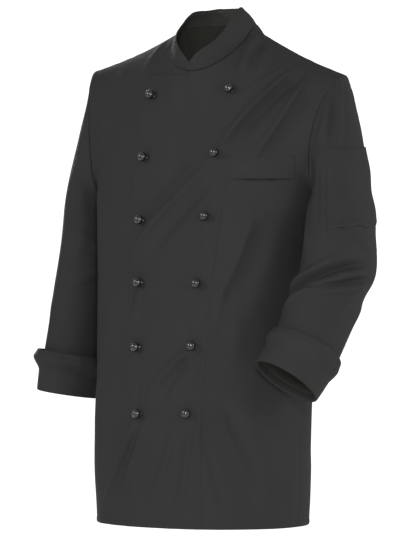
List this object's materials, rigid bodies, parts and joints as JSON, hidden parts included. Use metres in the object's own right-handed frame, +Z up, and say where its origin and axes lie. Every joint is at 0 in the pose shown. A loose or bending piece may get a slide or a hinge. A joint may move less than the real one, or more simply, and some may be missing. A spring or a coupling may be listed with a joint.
{
  "type": "chef jacket",
  "caption": "Long-sleeved double-breasted black chef jacket with stand collar, turned-back cuffs, ball buttons, breast pocket and sleeve pocket, filled out with no wearer.",
  "frame": {"origin": "middle of the neck base, level with the neck points, where the wearer's neck and shoulders hold the jacket up", "axes": "+Z up along the body, -Y the way the jacket faces, +X to the wearer's left"},
  "size_m": [0.6419, 0.3187, 0.8434],
  "materials": {
    "black_twill": "matte woven twill",
    "button_gloss": "polished dark ball button"
  },
  "bodies": {
    "root": {"front_right": "black_twill", "front_left": "black_twill", "back": "black_twill", "collar": "black_twill", "sleeve_right": "black_twill", "sleeve_left": "black_twill", "cuff_right": "black_twill", "cuff_left": "black_twill", "breast_pocket_welt": "black_twill", "sleeve_pocket": "black_twill", "button_left_1": "button_gloss", "button_left_2": "button_gloss", "button_left_3": "button_gloss", "button_left_4": "button_gloss", "button_left_5": "button_gloss", "button_left_6": "button_gloss", "button_right_1": "button_gloss", "button_right_2": "button_gloss", "button_right_3": "button_gloss", "button_right_4": "button_gloss", "button_right_5": "button_gloss", "button_right_6": "button_gloss"}
  },
  "joints": []
}
